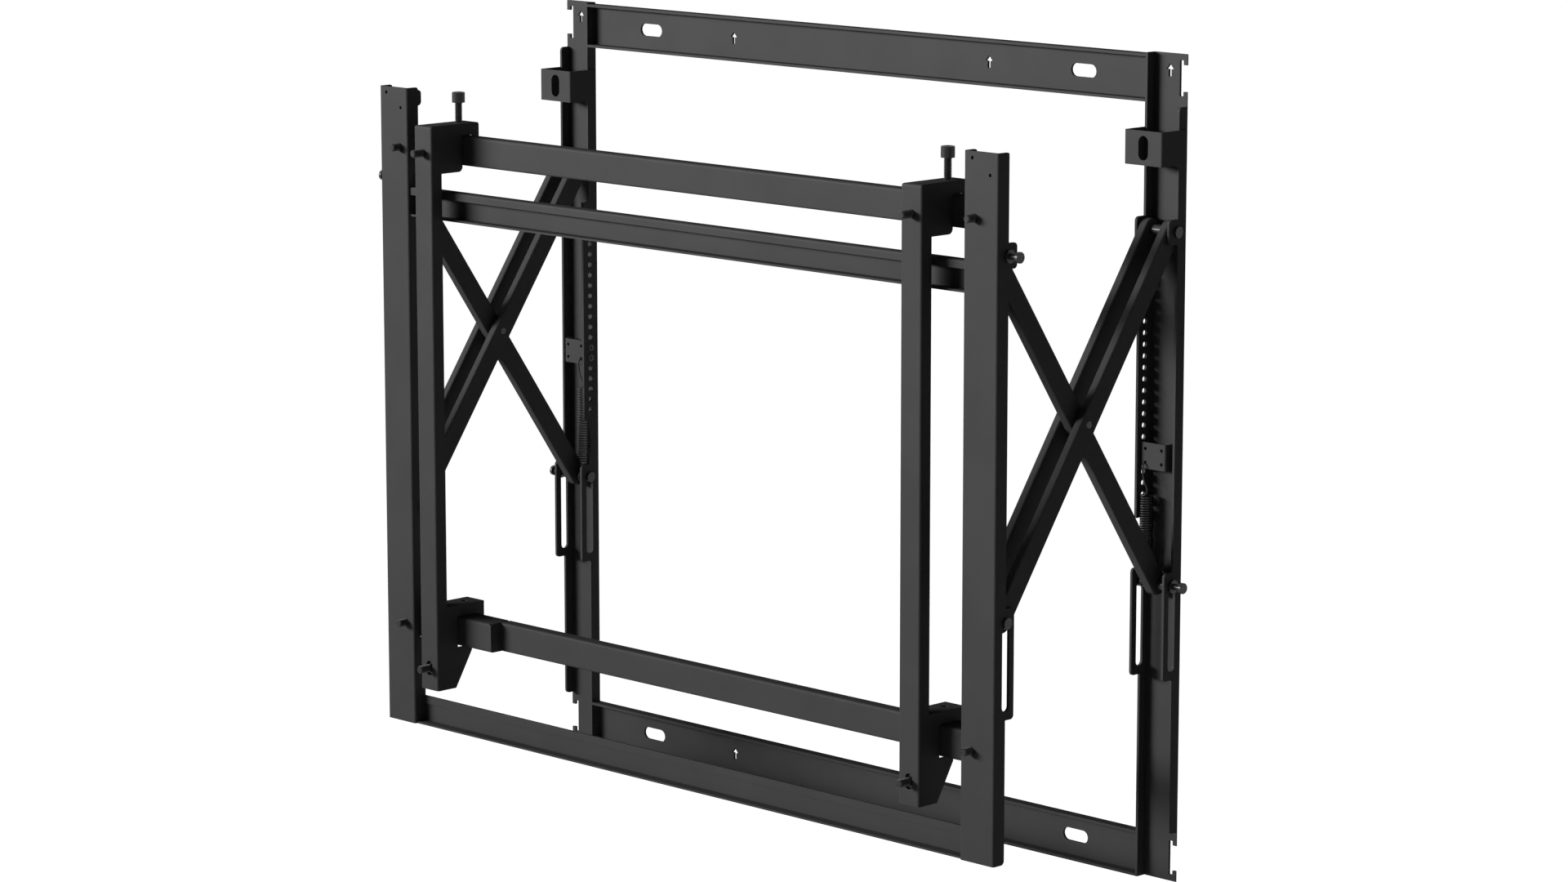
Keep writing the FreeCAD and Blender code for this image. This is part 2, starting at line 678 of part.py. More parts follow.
def anchor_place(side):
    """Lower screw hole and middle of an anchor: the left one sits one hole higher."""
    first = 4 if side == RIGHT else 5
    low = perf_first_z + first * perf_pitch
    return low, low + perf_pitch / 2


def spring_anchor(name, side):
    """Small bent bracket that holds the upper end of a spring."""
    body = new_body(f"spring_anchor_{name}")
    low_hole, middle = anchor_place(side)
    foot = middle - anchor_h / 2
    top = middle + anchor_h / 2
    end = inside_near + anchor_w
    low, high = mirrored(inside_near, end, side)
    add_forward(body, box_corners(low, foot, high, top), anchor_face - anchor_t, anchor_t)
    leg = box_corners(-anchor_face, foot, anchor_leg - anchor_face, top)
    add_across(body, leg, side * inside_near, side * (inside_near + anchor_t))
    add_across(body, leg, side * end, side * (end - anchor_t))
    sketch = new_sketch(body, "XZ_Plane", anchor_face + free_gap)
    for x in (inside_near + anchor_hole_x, end - anchor_hole_x + 1):
        for rise in (-1, 1):
            circle(sketch, (side * x, middle + rise * anchor_hole_z), anchor_hole_d)
    pocket(body, sketch, anchor_t + 2 * free_gap)
    stop = inside_near + anchor_t + free_gap
    for hole_z in (low_hole, low_hole + perf_pitch):
        hole = ((-perf_depth, hole_z), anchor_screw_d + 2 * fit)
        cut_across(body, circle, hole, side * (inside_near - free_gap), side * stop)
    folds = [(side * inside_near, -anchor_face, 0), (side * end, -anchor_face, 0)]
    round_edges(body, anchor_t, ALONG_Z, folds)
    return body


def anchor_screws():
    """The four screws that hold the anchors to the perforated flanges."""
    members = []
    for name, side in SIDES:
        low_hole, middle = anchor_place(side)
        for place, hole_z in (("lower", low_hole), ("upper", low_hole + perf_pitch)):
            head = mirrored(channel_in - anchor_head_t, channel_in, side)
            shank = mirrored(channel_in, inside_near + anchor_t + 1, side)
            steps = [(*head, anchor_head_d), (*shank, anchor_screw_d)]
            if side == LEFT:
                steps.reverse()
            label = f"anchor_screw_{name}_{place}"
            members.append(turned(label, steps, -perf_depth, hole_z))
    return group("spring_anchor_screws", members)


def arm_bar(label, low_x, thickness, side, rear_end, front_end, front_fit=fit):
    """A flat bar with round ends, three bores and softened edges."""
    body = new_body(label)
    start, end = mirrored(low_x, low_x + thickness, side)
    sketch = new_sketch(body, "YZ_Plane", start)
    stadium(sketch, rear_end, front_end, arm_w)
    pad(body, sketch, thickness)
    sketch = new_sketch(body, "YZ_Plane", start - free_gap)
    bores = ((rear_end, fit), (front_end, front_fit), ((centre_y, centre_z), fit))
    for place, clearance in bores:
        circle(sketch, place, pin_d + 2 * clearance)
    pocket(body, sketch, thickness + 2 * free_gap, True)
    rims = []
    for number, edge in enumerate(body.Tip.Shape.Edges, start=1):
        box = edge.BoundBox
        if box.XLength < 0.01 and edge.Length > arm_w.value * 1.4:
            rims.append(f"Edge{number}")
    base = body.Tip
    feature = body.newObject("PartDesign::Fillet", "softened")
    feature.Base = (base, rims)
    bind(feature, "Radius", bar_round)
    doc.recompute()
    return body


def pin_steps(side, near, far, long_end):
    """Steps of a pin between two faces: a head at the near end, a head or neck outside."""
    inner = near - play
    outer = far + play
    steps = [
        (inner - pin_head_t, inner, pin_head_d),
        (inner, outer, pin_d),
    ]
    if long_end:
        neck = outer + pin_collar_t
        tip = neck + pin_neck_l
        steps += [(outer, neck, pin_collar_d), (neck, tip, pin_neck_d)]
        steps += [(tip, tip + pin_head_t, pin_head_d)]
    else:
        steps += [(outer, outer + pin_head_t, pin_head_d)]
    if side == LEFT:
        steps = [(-b, -a, d) for a, b, d in reversed(steps)]
    return steps


def pins(name, side):
    """The five pins of one scissor."""
    bars_near = near_bar
    bars_far = far_bar + outer_bar_t
    whole = (channel_in, half_width)
    plan = [
        ("rear_pivot_pin", whole, False, rear_line, pivot_z),
        ("front_pivot_pin", whole, True, front_line, pivot_z),
        ("rear_slide_pin", whole, True, rear_line, pin_z),
        ("front_slide_pin", whole, False, front_line, pin_z),
    ]
    made = []
    for label, (near, far), long_end, y, z in plan:
        made.append(turned(f"{label}_{name}", pin_steps(side, near, far, long_end), y, z))
    low, high = mirrored(bars_near, bars_far, side)
    made.append(turned(f"centre_pin_{name}", [(low, high, pin_d)], centre_y, centre_z))
    return made


def ring(label, side, low_x, high_x, outer_d, y, z):
    """A spacer or washer with play at both ends."""
    low, high = mirrored(low_x + play, high_x - play, side)
    return tube_solid(label, low, high, outer_d, pin_d + 2 * fit, y, z)


def spacers(name, side):
    """Spacers and washers, grouped by the arm that they turn with."""
    near_end = near_bar + outer_bar_t
    mid_end = mid_bar + inner_bar_t
    outer = [
        ring(f"rear_spacer_{name}", side, near_end, far_bar, spacer_d, rear_line, pivot_z),
        ring(f"front_spacer_{name}", side, near_end, far_bar, spacer_d, front_line, pin_z),
        ring(f"near_washer_{name}", side, near_end, mid_bar, washer_d, centre_y, centre_z),
        ring(f"far_washer_{name}", side, mid_end, far_bar, washer_d, centre_y, centre_z),
    ]
    inner = []
    for end, y, z in (("slide", rear_line, pin_z), ("pivot", front_line, pivot_z)):
        for part, low, high in (("near", inside_near, mid_bar), ("far", mid_end, inside_far)):
            label = f"{end}_{part}_spacer_{name}"
            inner.append(ring(label, side, low, high, spacer_d, y, z))
    group(f"outer_arm_spacers_{name}", outer)
    group(f"inner_arm_spacers_{name}", inner)


def arc_between(start, heading, end):
    """A circular arc from a start and its heading to an end, or a line."""
    chord = end - start
    along = chord * (1.0 / chord.Length)
    across = heading - along * heading.dot(along)
    if across.Length < 1e-6:
        return Part.LineSegment(start, end).toShape()
    angle = math.acos(max(-1.0, min(1.0, heading.dot(along))))
    bulge = across * (chord.Length / 2 * math.tan(angle / 2) / across.Length)
    return Part.Arc(start, (start + end) * 0.5 + bulge, end).toShape()


def biarc(start, heading, end, arrival):
    """Two arcs that join two points with given headings."""
    gap = start - end
    total = heading + arrival
    along = gap.dot(total)
    spread = 2 * (1 - heading.dot(arrival))
    if spread < 1e-9:
        reach = -gap.dot(gap) / (4 * gap.dot(arrival))
    else:
        reach = (along + math.sqrt(along * along + spread * gap.dot(gap))) / spread
    middle = (start + end + (heading - arrival) * reach) * 0.5
    bend = middle - start
    turn = bend * (2 * bend.dot(heading) / bend.dot(bend)) - heading
    first = arc_between(start, heading, middle)
    second = arc_between(middle, turn.normalize(), end)
    return [first, second]


def spring_stations(side):
    """Points and headings of a spring's wire: lower hook, coils, upper hook."""
    low_hole, anchor_mid = anchor_place(side)
    x = (side * (inside_near + anchor_hole_x)).value
    y = rear_line.value
    pin_height = pin_z.value
    low_r = (spacer_d / 2 + hook_wire_gap + wire_d / 2).value
    coil_r = ((coil_d - wire_d) / 2).value
    top_r = anchor_loop_r.value
    loop_z = (anchor_mid - anchor_hole_z).value - top_r
    loop_y = -(anchor_face - anchor_t / 2).value
    first_z = pin_height + low_r + coil_lead.value
    last_z = loop_z - spring_stem.value + top_r
    rise = (last_z - first_z) / coil_count.value
    stations = []
    for quarter in range(-1, 3):
        turn = math.pi / 2 * (1 + quarter)
        place = V(x, y + low_r * math.cos(turn), pin_height - low_r * math.sin(turn))
        heading = V(0, -math.sin(turn), -math.cos(turn))
        stations.append((place, heading))
    for quarter in range(int(coil_count.value) * 4 + 1):
        turn = math.pi / 2 * quarter
        height = first_z + rise * quarter / 4
        place = V(x + coil_r * math.sin(turn), y - coil_r * math.cos(turn), height)
        heading = V(coil_r * math.cos(turn), coil_r * math.sin(turn), rise / (2 * math.pi))
        stations.append((place, heading.normalize()))
    for quarter in range(0, 3):
        turn = math.pi / 2 * quarter
        place = V(x, loop_y - top_r * math.cos(turn), loop_z + top_r * math.sin(turn))
        heading = V(0, math.sin(turn), math.cos(turn))
        stations.append((place, heading))
    return stations[1:]


def least_gap(path, wire):
    """Least gap between stretches of the wire that lie well apart along it."""
    points = path.discretize(Distance=0.6)
    skip = int(3 * wire / 0.6) + 2
    window = int(2.5 * math.pi * coil_d.value / 0.6)
    least = 1e9
    for i in range(0, len(points), 3):
        for j in range(i + skip, min(len(points), i + window)):
            least = min(least, points[i].distanceToPoint(points[j]))
    return least - wire


def pull_spring(name, side):
    """Tension spring: one unbroken wire, hooked to the anchor and to the slide pin."""
    stations = spring_stations(side)
    edges = []
    for (start, heading), (end, arrival) in zip(stations, stations[1:]):
        edges += biarc(start, heading, end, arrival)
    path = Part.Wire(edges)
    start, heading = stations[0]
    ring_wire = Part.Wire([Part.Circle(start, heading, wire_d.value / 2).toShape()])
    sweep = Part.BRepOffsetAPI.MakePipeShell(path)
    sweep.add(ring_wire)
    sweep.build()
    sweep.makeSolid()
    spring = doc.addObject("Part::Feature", f"pull_spring_{name}")
    spring.Label = f"pull_spring_{name}"
    spring.Shape = sweep.shape()
    bind(spring, ".Placement.Base.z", -datum_z)
    print(f"pull_spring_{name}: least gap of the wire to itself", round(least_gap(path, wire_d.value), 2))
    return spring


def front_upright(name, side):
    """Channel of the front frame, open to the back."""
    body = new_body(f"front_upright_{name}")
    foot = front_foot_z
    top = front_foot_z + front_height
    low, high = mirrored(channel_in, half_width, side)
    add_forward(body, box_corners(low, foot, high, top), open_depth - steel_t, steel_t)
    plate, ear = guide_zones()
    top_ear = (top - front_ear_h, top - steel_t, pivot_depth + front_ear_out)
    inner = flange_edge(foot, top, pivot_depth, 1, -open_depth, [plate, ear, top_ear])
    outer = flange_edge(foot, top, pivot_depth, 1, -open_depth, [plate, ear])
    add_across(body, inner, side * channel_in, side * inside_near)
    add_across(body, outer, side * half_width, side * inside_far)
    start = side * (channel_in - free_gap)
    cut_guides(body, front_line, start, side * (half_width + free_gap))
    half = carrier_h / 2 + free_gap
    front = -low_end_face - free_gap
    window = box_corners(front, low_carrier_z - half, front_line + free_gap, low_carrier_z + half)
    cut_across(body, polygon, (window,), start, side * (inside_near + free_gap))
    for carrier_z in (top_carrier_z, low_carrier_z):
        bolt = ((side * bolt_x, carrier_z), bolt_neck_d + 2 * fit)
        cut_forward(body, circle, bolt, open_depth)
    for shift, below in ((-1, tool_hole_up), (1, tool_hole_low)):
        sketch = new_sketch(body, "XZ_Plane", open_depth + free_gap)
        circle(sketch, (side * channel_mid + shift * tool_hole_x, top - below), tool_hole_d)
        pocket(body, sketch, tool_hole_depth + free_gap)
    bump = front_line + front_ear_out
    corners = plate_corners(front_line, -1)
    corners += [(0, bump, top - front_ear_h), (0, bump, top - steel_t), (0, front_line, foot)]
    round_edges(body, plate_corner_r, ALONG_X, corners)
    round_edges(body, flange_corner_r, ALONG_X, [(0, front_line, top)])
    folds = [(side * channel_in, -open_depth, 0), (side * half_width, -open_depth, 0)]
    round_edges(body, bend_r, ALONG_Z, folds)
    return body


def middle_rail():
    """Upper rail between the front uprights: web behind, a lip hanging at the front."""
    body = new_body("front_rail_middle")
    foot = middle_rail_foot
    top = foot + middle_rail_h
    front = web_inner
    back = front + lip_rail_d
    section = [
        (front, foot),
        (back, foot),
        (back, top),
        (front, top),
        (front, top - lip_h),
        (front + lip_t, top - lip_h),
        (front + lip_t, top - lip_t),
        (back - lip_t, top - lip_t),
        (back - lip_t, foot + lip_t),
        (front, foot + lip_t),
    ]
    add_across(body, section, -channel_in, channel_in)
    folds = [(0, front, top), (0, back, top), (0, back, foot)]
    round_edges(body, lip_t, ALONG_X, folds)


def bottom_rail():
    """Lower rail between the front uprights: web behind, its top edge folded over."""
    body = new_body("front_rail_bottom")
    foot = front_foot_z
    top = foot + bottom_rail_h
    front = web_inner
    back = front + lip_rail_d
    section = [
        (front, foot),
        (back, foot),
        (back, top),
        (back - 2 * lip_t, top),
        (back - 2 * lip_t, top - lip_h),
        (back - lip_t, top - lip_h),
        (back - lip_t, foot + lip_t),
        (front, foot + lip_t),
    ]
    add_across(body, section, -channel_in, channel_in)
    folds = [(0, back, foot), (0, back, top)]
    round_edges(body, lip_t, ALONG_X, folds)


def channel_section(face, depth, foot, top):
    """A channel seen from the side, open to the back."""
    back = depth - face
    return [
        (-face, foot),
        (back, foot),
        (back, foot + steel_t),
        (steel_t - face, foot + steel_t),
        (steel_t - face, top - steel_t),
        (back, top - steel_t),
        (back, top),
        (-face, top),
    ]


def carrier_ends(body, middle, face):
    """Both ends of a carrier: a step inside the upright and a tab behind its web."""
    foot = middle - carrier_h / 2
    top = middle + carrier_h / 2
    step = box_corners(web_inner, foot, steel_t - face, top)
    for side in (LEFT, RIGHT):
        add_across(body, step, side * (end_step - steel_t), side * end_step)
        low, high = mirrored(end_step - steel_t, inside_far - free_gap, side)
        add_forward(body, box_corners(low, foot, high, top), -tab_back, steel_t)
        bolt = ((side * bolt_x, middle), bolt_neck_d + 2 * fit)
        cut_forward(body, circle, bolt, -web_inner)


def top_carrier():
    """Upper carrier: one channel that passes behind the uprights' flanges."""
    body = new_body("carrier_top")
    foot = top_carrier_z - carrier_h / 2
    section = channel_section(carrier_face, carrier_d, foot, top_carrier_top)
    add_across(body, section, -end_step, end_step)
    carrier_ends(body, top_carrier_z, carrier_face)
    folds = [(0, -carrier_face, top_carrier_top), (0, -carrier_face, foot)]
    round_edges(body, bend_r, ALONG_X, folds)


def low_carrier():
    """Lower carrier: its ends step forward, the left one further from the upright."""
    body = new_body("carrier_low")
    foot = low_carrier_z - carrier_h / 2
    top = low_carrier_z + carrier_h / 2
    left = half_width - left_jog_inset
    right = half_width - right_jog_inset
    add_across(body, channel_section(carrier_face, carrier_d, foot, top), -left, right)
    step = box_corners(-low_end_face, foot, steel_t - carrier_face, top)
    end_section = channel_section(low_end_face, carrier_d + jog_out, foot, top)
    for side, jog in ((LEFT, left), (RIGHT, right)):
        add_across(body, step, side * (jog + steel_t), side * jog)
        add_across(body, end_section, side * (jog + steel_t), side * end_step)
    carrier_ends(body, low_carrier_z, low_end_face)
    folds = []
    for face in (carrier_face, low_end_face):
        folds += [(0, -face, top), (0, -face, foot)]
    round_edges(body, bend_r, ALONG_X, folds)
    for side, jog in ((LEFT, left), (RIGHT, right)):
        sketch = new_sketch(body, "XY_Plane", top + free_gap)
        circle(sketch, (side * (jog + steel_t / 2), steel_t / 2 - low_end_face), relief_d)
        pocket(body, sketch, steel_t + free_gap)


def carrier_bolts():
    """Bolts through uprights and carrier ends, with their thread standing forward."""
    members = []
    for side_name, side in SIDES:
        for name, z in (("top", top_carrier_z), ("low", low_carrier_z)):
            label = f"carrier_bolt_{side_name}_{name}"
            x = side * bolt_x
            head = (-tab_back, bolt_head_t, bolt_head_d)
            members.append(stud(label, x, z, head, open_depth, bolt_out))
    return group("carrier_bolts", members)


def stud(label, x, z, head, sheet, out):
    """A bolt along Y: head behind its seat, neck through the sheets, thread in front."""
    body = new_body(label)
    seat, head_t, head_d = head
    neck = sheet + bolt_neck_out
    for start, end, diameter in (
        (seat - head_t, seat, head_d),
        (seat, neck, bolt_neck_d),
        (neck, sheet + out, bolt_d),
    ):
        sketch = new_sketch(body, "XZ_Plane", start)
        circle(sketch, (x, z), diameter)
        pad(body, sketch, end - start)
    return body


def bracket_edge():
    """Side plate of a display bracket, with hooks over both carriers."""
    face = -bracket_face
    flange = bracket_flange - bracket_face
    front_leg = -carrier_face - free_gap
    notch_back = box_back - hook_leg_w
    low_notch = -low_end_face - low_notch_gap
    slant = foot_slant_d - bracket_face
    return [
        (face, bracket_foot_z),
        (foot_d - bracket_face, bracket_foot_z),
        (slant, low_notch_foot - slant_rise),
        (slant, low_notch_foot),
        (low_notch, low_notch_foot),
        (low_notch, low_roof),
        (notch_back, low_roof),
        (notch_back, low_roof - hook_leg_l),
        (box_back, low_roof - hook_leg_l),
        (box_back, low_box_top),
        (flange, low_box_top),
        (flange, hook_box_foot),
        (front_leg, hook_box_foot),
        (front_leg, top_roof),
        (notch_back, top_roof),
        (notch_back, top_roof - hook_leg_l),
        (box_back, top_roof - hook_leg_l),
        (box_back, bracket_top_z),
        (face, bracket_top_z),
    ]


def display_bracket(name, side):
    """Upright bracket behind a display: a channel with a box hooked over each carrier."""
    body = new_body(f"display_bracket_{name}")
    middle = side * bracket_x
    low = middle - bracket_w / 2
    high = middle + bracket_w / 2
    face = box_corners(low, bracket_foot_z, high, bracket_top_z)
    add_forward(body, face, bracket_face - steel_t, steel_t)
    add_across(body, bracket_edge(), low, low + steel_t)
    add_across(body, bracket_edge(), high, high - steel_t)
    for top, hole_d in ((bracket_top_z, screw_d + 2 * fit), (low_box_top, lock_hole_d)):
        roof = box_corners(-bracket_face, top - steel_t, box_back, top)
        add_across(body, roof, low, high)
        sketch = new_sketch(body, "XY_Plane", top + free_gap)
        circle(sketch, (middle, screw_y), hole_d)
        pocket(body, sketch, steel_t + 2 * free_gap)
    top_stud = ((middle, low_stud_z + display_pitch_z), bolt_neck_d + 2 * fit)
    cut_forward(body, circle, top_stud, bracket_face)
    reach = (stud_slot_l - bolt_d) / 2
    slot = ((middle, low_stud_z - reach), (middle, low_stud_z + reach), bolt_neck_d + 4 * fit)
    cut_forward(body, stadium, slot, bracket_face)
    corner = [(0, -carrier_face - free_gap, hook_box_foot)]
    round_edges(body, hook_corner_r, ALONG_X, corner)
    round_edges(body, bend_r, ALONG_X, [(0, -bracket_face, bracket_top_z)])
    folds = [(low, -bracket_face, 0), (high, -bracket_face, 0)]
    round_edges(body, bend_r, ALONG_Z, folds)
    return body


def display_studs(name, side):
    """The two studs that a display is hung on."""
    members = []
    for place, z in (("low", low_stud_z), ("top", low_stud_z + display_pitch_z)):
        label = f"display_stud_{name}_{place}"
        head = (bracket_face - steel_t, stud_head_t, stud_head_d)
        members.append(stud(label, side * bracket_x, z, head, bracket_face, stud_out))
    return group(f"display_studs_{name}", members)


def glide_pad(name, side):
    """Small pad that slides on the top carrier under the height screw."""
    body = new_body(f"glide_pad_{name}")
    middle = side * bracket_x
    foot = top_carrier_top + pad_seat
    depth = carrier_d - 2 * free_gap
    back = carrier_face - carrier_d + free_gap
    low = middle - pad_w / 2
    high = middle + pad_w / 2
    add_forward(body, box_corners(low, foot, high, foot + pad_t), back, depth)
    sketch = new_sketch(body, "XY_Plane", foot + pad_t + free_gap)
    circle(sketch, (middle, screw_y), screw_d + 2 * fit)
    pocket(body, sketch, screw_seat + free_gap)
    return body


def height_screw(name, side):
    """Socket screw that raises and lowers its bracket."""
    body = new_body(f"height_screw_{name}")
    middle = side * bracket_x
    head = screw_tip_z + play / 2 + screw_l
    for start, length, diameter in (
        (screw_tip_z + play / 2, screw_l, screw_d),
        (head, screw_head_h, screw_head_d),
    ):
        sketch = new_sketch(body, "XY_Plane", start)
        circle(sketch, (middle, screw_y), diameter)
        pad(body, sketch, length)
    sketch = new_sketch(body, "XY_Plane", head + screw_head_h)
    half = Size(math.sqrt(3) / 2, "(sqrt(3) / 2)")
    corners = []
    for over, up in ((2, 0), (1, 1), (-1, 1), (-2, 0), (-1, -1), (1, -1)):
        corners.append((middle + over * socket_r / 2, screw_y + up * half * socket_r))
    polygon(sketch, corners)
    pocket(body, sketch, socket_depth)
    return body


def check_and_export():
    """Every named piece must be sound before its file is written."""
    doc.recompute()
    os.makedirs("parts", exist_ok=True)
    members = set()
    for thing in doc.Objects:
        if thing.TypeId == "Part::Compound":
            members.update(link.Name for link in thing.Links)
    kinds = ("PartDesign::Body", "Part::Compound", "Part::Feature")
    for thing in doc.Objects:
        if "Invalid" in thing.State or "Error" in thing.State:
            owners = [parent.Label for parent in thing.InList]
            raise ValueError(f"{thing.Label} of {owners} did not build")
        if thing.TypeId not in kinds or thing.Name in members:
            continue
        shape = thing.Shape
        if shape.isNull() or not shape.isValid() or not shape.Solids:
            raise ValueError(f"{thing.Label} is not a sound solid")
        shape.exportStep(f"parts/{thing.Label}.step")


def main():
    for name, side in SIDES:
        wall_upright(name, side)
        stop_bracket(name, side)
        spring_anchor(name, side)
        arm_bar(f"outer_arm_{name}_near_bar", near_bar, outer_bar_t, side,
                (rear_line, pivot_z), (front_line, pin_z))
        arm_bar(f"outer_arm_{name}_far_bar", far_bar, outer_bar_t, side,
                (rear_line, pivot_z), (front_line, pin_z))
        arm_bar(f"inner_arm_{name}", mid_bar, inner_bar_t, side,
                (rear_line, pin_z), (front_line, pivot_z),
                loose_fit if side == RIGHT else fit)
        pins(name, side)
        spacers(name, side)
        pull_spring(name, side)
        front_upright(name, side)
        display_bracket(name, side)
        display_studs(name, side)
        glide_pad(name, side)
        height_screw(name, side)
    wall_rail("top", wall_height - wall_rail_inset - wall_rail_h)
    wall_rail("bottom", size_of(0))
    anchor_screws()
    middle_rail()
    bottom_rail()
    top_carrier()
    low_carrier()
    carrier_bolts()
    check_and_export()


main()
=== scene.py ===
"""Looks for a pop-out video wall mount: coats and metals for its steel, and threads for its studs.

Run as a script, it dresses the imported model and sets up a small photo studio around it.
"""
import json
import math
import os

import bmesh
import bpy
from bpy.props import FloatProperty, FloatVectorProperty, PointerProperty
from mathutils import Matrix, Vector


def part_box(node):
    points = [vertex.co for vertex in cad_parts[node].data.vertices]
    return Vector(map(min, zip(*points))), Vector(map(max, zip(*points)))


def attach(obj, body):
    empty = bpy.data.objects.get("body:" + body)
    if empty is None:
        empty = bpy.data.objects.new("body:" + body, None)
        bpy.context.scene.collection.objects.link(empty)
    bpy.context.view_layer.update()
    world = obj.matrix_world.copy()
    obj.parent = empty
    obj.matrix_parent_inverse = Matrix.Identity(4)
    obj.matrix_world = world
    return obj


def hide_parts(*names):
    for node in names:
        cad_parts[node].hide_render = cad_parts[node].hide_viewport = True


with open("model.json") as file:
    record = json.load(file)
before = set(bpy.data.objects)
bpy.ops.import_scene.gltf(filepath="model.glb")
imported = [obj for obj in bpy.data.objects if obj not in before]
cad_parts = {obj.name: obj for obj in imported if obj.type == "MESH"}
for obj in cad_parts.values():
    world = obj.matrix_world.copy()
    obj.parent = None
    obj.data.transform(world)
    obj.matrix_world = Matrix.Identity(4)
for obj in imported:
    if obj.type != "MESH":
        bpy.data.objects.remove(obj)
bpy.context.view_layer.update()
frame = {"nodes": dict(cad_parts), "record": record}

bl_info = {
    "name": "Video Wall Mount Looks",
    "version": (1, 0, 0),
    "blender": (4, 5, 0),
    "location": "View3D > Sidebar > Wall Mount",
    "description": "Coats, threads and a studio for a pop-out video wall mount",
    "category": "Object",
}

MM = 0.001
FOOT_DEPTH = 299.5 * MM  # foot of the wall frame below its middle
SIDES = ("left", "right")

# Turned pieces
TURN_STEPS = 20
SHARP_TURN = math.radians(30)
SCREW_RADIUS = 3.0 * MM
NECK_RADIUS = 3.2 * MM
ANCHOR_SCREW_RADIUS = 1.75 * MM
SOCKET_RADIUS = 2.9 * MM
STUD_THREAD = 10.2 * MM
STUD_HEAD = 3.0 * MM
BOLT_THREAD = 7.7 * MM
BOLT_HEAD = 4.0 * MM
HEIGHT_SCREW_HEAD = 8.0 * MM
ANCHOR_SCREW_HEAD = 1.8 * MM
STUD_HEAD_RADIUS = 5.0 * MM

# Camera and lamps, in metres from the middle of the wall frame
CAMERA_PLACE = (2.51387, -2.60158, 0.92361 - FOOT_DEPTH)
CAMERA_DROP = math.radians(10.03)
CAMERA_TURN = math.radians(44.92)
KEY_PLACE = (-2.85, -3.60, 1.20)
KEY_TARGET = (0.0, -0.1, 0.80)
KEY_WIDTH = 2.8
FILL_PLACE = (3.6, 0.9, 0.5)
FILL_WIDTH = 1.6
EDGE_PLACE = (-2.3, -0.9, 2.3)
EDGE_WIDTH = 0.3
MOUNT_MIDDLE = (0.0, -0.1, 0.0)
FLOOR_REACH = 15.0
WHITE = (1.0, 1.0, 1.0, 1.0)


class CoatSettings(bpy.types.PropertyGroup):
    """Colours and textures of the finishes."""

    powder_colour: FloatVectorProperty(
        name="Powder Coat", description="Colour of the black powder coat", subtype="COLOR",
        size=4, default=(0.080, 0.080, 0.081, 1.0), min=0.0, max=1.0)
    powder_gloss: FloatProperty(
        name="Powder Gloss", description="Share of the coat that shines", default=0.05, min=0.0,
        max=1.0)
    powder_grain: FloatProperty(
        name="Powder Grain", description="Size of the coat's fine grain", unit="LENGTH",
        default=0.0011, min=0.0002)
    powder_bump: FloatProperty(
        name="Powder Bump", description="Height of the coat's grain", unit="LENGTH",
        default=0.00004, min=0.0)
    pin_colour: FloatVectorProperty(
        name="Pins", description="Colour of the blackened pins", subtype="COLOR",
        size=4, default=(0.055, 0.055, 0.058, 1.0), min=0.0, max=1.0)
    screw_colour: FloatVectorProperty(
        name="Screws", description="Colour of blackened screws and studs", subtype="COLOR",
        size=4, default=(0.032, 0.032, 0.034, 1.0), min=0.0, max=1.0)
    spring_colour: FloatVectorProperty(
        name="Springs", description="Colour of the oiled spring wire", subtype="COLOR",
        size=4, default=(0.040, 0.040, 0.042, 1.0), min=0.0, max=1.0)
    pad_colour: FloatVectorProperty(
        name="Glide Pads", description="Colour of the plastic glide pads", subtype="COLOR",
        size=4, default=(0.025, 0.025, 0.026, 1.0), min=0.0, max=1.0)


class ThreadSettings(bpy.types.PropertyGroup):
    """Sizes of the screw threads."""

    pitch: FloatProperty(
        name="Pitch", description="Distance between two threads", unit="LENGTH",
        default=0.001, min=0.0003)
    depth: FloatProperty(
        name="Depth", description="Depth of the threads", unit="LENGTH",
        default=0.0006, min=0.0001)
    chamfer: FloatProperty(
        name="Chamfer", description="Chamfer at tips and heads", unit="LENGTH",
        default=0.0007, min=0.0)


class StudioSettings(bpy.types.PropertyGroup):
    """Camera, floor and lamps."""

    floor_colour: FloatVectorProperty(
        name="Floor", description="Colour of the floor", subtype="COLOR",
        size=4, default=(0.80, 0.80, 0.80, 1.0), min=0.0, max=1.0)
    floor_glow: FloatProperty(
        name="Floor Glow", description="White that the camera sees in the floor", default=0.94,
        min=0.0)
    floor_drop: FloatProperty(
        name="Floor Drop", description="Foot of the mount to the floor", unit="LENGTH",
        default=0.45, min=0.0)
    key_power: FloatProperty(
        name="Key Lamp", description="Power of the large lamp at the front left",
        unit="POWER", default=32.5, min=0.0)
    key_height: FloatProperty(
        name="Key Height", description="Height of the key lamp", unit="LENGTH", default=0.7,
        min=0.05)
    key_spread: FloatProperty(
        name="Key Spread", description="Angle of the key lamp's cone", subtype="ANGLE",
        default=math.radians(52), min=0.1, max=math.pi)
    fill_power: FloatProperty(
        name="Fill Lamp", description="Power of the weak lamp behind on the right",
        unit="POWER", default=1.1, min=0.0)
    edge_power: FloatProperty(
        name="Edge Lamp", description="Power of the small lamp above, for the folded edges",
        unit="POWER", default=3.0, min=0.0)
    room_level: FloatProperty(
        name="Room Light", description="Level of the light from all round", default=0.035, min=0.0)
    lens: FloatProperty(
        name="Lens", description="Focal length in millimetres on a 36 mm sensor",
        default=110.92, min=10.0)


